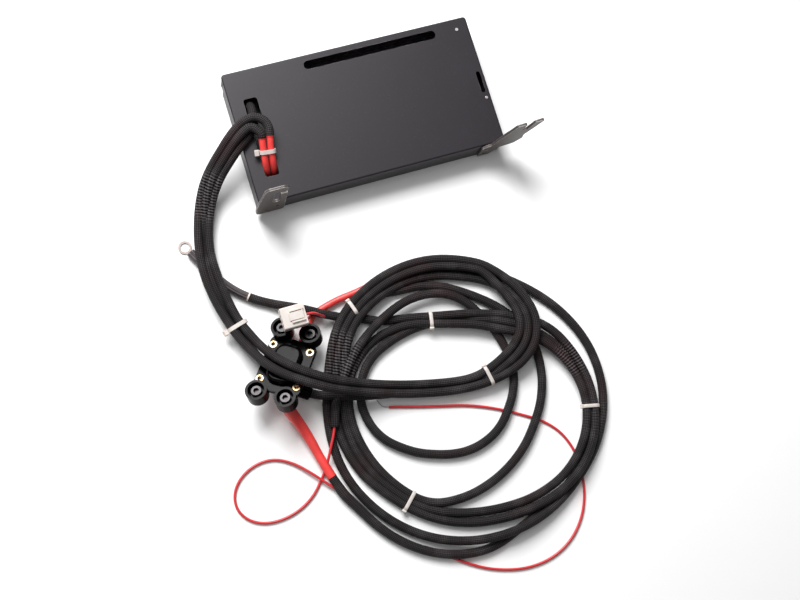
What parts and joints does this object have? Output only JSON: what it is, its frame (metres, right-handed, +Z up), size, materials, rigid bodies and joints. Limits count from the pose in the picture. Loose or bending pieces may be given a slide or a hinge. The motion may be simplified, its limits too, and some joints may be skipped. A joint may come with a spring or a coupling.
{
  "type": "battery box with cable loom",
  "caption": "Flat folded-steel battery box with hanging ears, sleeved leads through a slot, a small junction block, a plug and a loose coil of cable.",
  "frame": {"origin": "centre of the pan's underside, on the floor", "axes": "+X along the box, +Y towards its rear edge, +Z up; the cables lie in front of it and to the left"},
  "size_m": [0.4686, 0.6498, 0.103],
  "materials": {
    "powder_coat": "matt powder coat, lightly scuffed",
    "ear_coat": "matt powder coat, worn at the edges",
    "zinc_steel": "zinc plated",
    "rivet_steel": "bright",
    "foam": "open foam",
    "cell_case": "satin",
    "copper": "bright copper",
    "contact_brass": "bright",
    "board": "solder resist",
    "board_part": "moulded",
    "red_lead": "heat-shrunk, satin",
    "red_wire": "satin",
    "sleeve": "braided polyester sleeve",
    "block_plastic": "moulded, slightly glossy",
    "screw_steel": "black oxide",
    "tinned_copper": "tinned",
    "natural_nylon": "unpigmented nylon"
  },
  "bodies": {
    "box_and_loom": {"cover": "powder_coat", "pan": "powder_coat", "corner_posts": "zinc_steel", "pan_screws": "zinc_steel", "left_ear": "ear_coat", "right_ear": "ear_coat", "ear_rivets": "ear_coat", "side_bracket": "zinc_steel", "cover_rivets": "rivet_steel", "lower_foam": "foam", "upper_foam": "foam", "cell_1": "cell_case", "cell_2": "cell_case", "cell_3": "cell_case", "cell_links": "copper", "pack_straps": "copper", "bus_screws": "zinc_steel", "board_standoffs": "contact_brass", "control_board": "board", "board_screws": "zinc_steel", "board_parts": "board_part", "lead_posts": "contact_brass", "lead_a": "red_lead", "lead_b": "red_lead", "cable_a": "sleeve", "cable_b": "sleeve", "cable_c": "sleeve", "lug_lead": "sleeve", "tail_1": "red_lead", "tail_2": "red_lead", "sense_loop": "red_wire", "sense_arc": "red_wire", "sense_tip": "red_wire", "plug_lead": "red_wire", "loom_coil": "sleeve", "block_base": "block_plastic", "mount_eyelets": "contact_brass", "block_hood": "block_plastic", "link_bar": "copper", "tail_glands": "block_plastic", "inline_holder": "block_plastic", "ring_terminal": "tinned_copper", "plug_housing": "natural_nylon", "plug_contacts": "contact_brass", "trunk_tie": "natural_nylon", "lead_tie": "natural_nylon"},
    "screw_1": {"terminal_screw_1": "screw_steel"},
    "screw_2": {"terminal_screw_2": "screw_steel"},
    "screw_3": {"terminal_screw_3": "screw_steel"},
    "screw_4": {"terminal_screw_4": "screw_steel"},
    "latch": {"plug_latch": "natural_nylon"}
  },
  "joints": [
    {"name": "screw_1_turn", "type": "hinge", "parent": "box_and_loom", "child": "screw_1", "pos_m": [-0.1876, -0.30369, 0.05015], "axis": [-0.1384, 0.416, 0.8988], "continuous": true},
    {"name": "screw_2_turn", "type": "hinge", "parent": "box_and_loom", "child": "screw_2", "pos_m": [-0.21527, -0.2862, 0.0378], "axis": [-0.1384, 0.416, 0.8988], "continuous": true},
    {"name": "screw_3_turn", "type": "hinge", "parent": "box_and_loom", "child": "screw_3", "pos_m": [-0.13811, -0.24064, 0.02859], "axis": [-0.1384, 0.416, 0.8988], "continuous": true},
    {"name": "screw_4_turn", "type": "hinge", "parent": "box_and_loom", "child": "screw_4", "pos_m": [-0.16579, -0.22315, 0.01623], "axis": [-0.1384, 0.416, 0.8988], "continuous": true},
    {"name": "latch_lift", "type": "hinge", "parent": "box_and_loom", "child": "latch", "pos_m": [-0.1415, -0.2164, 0.0493], "axis": [0, 1, 0], "range_deg": [0, 12], "stiffness_Nm_per_rad": 0.02}
  ]
}
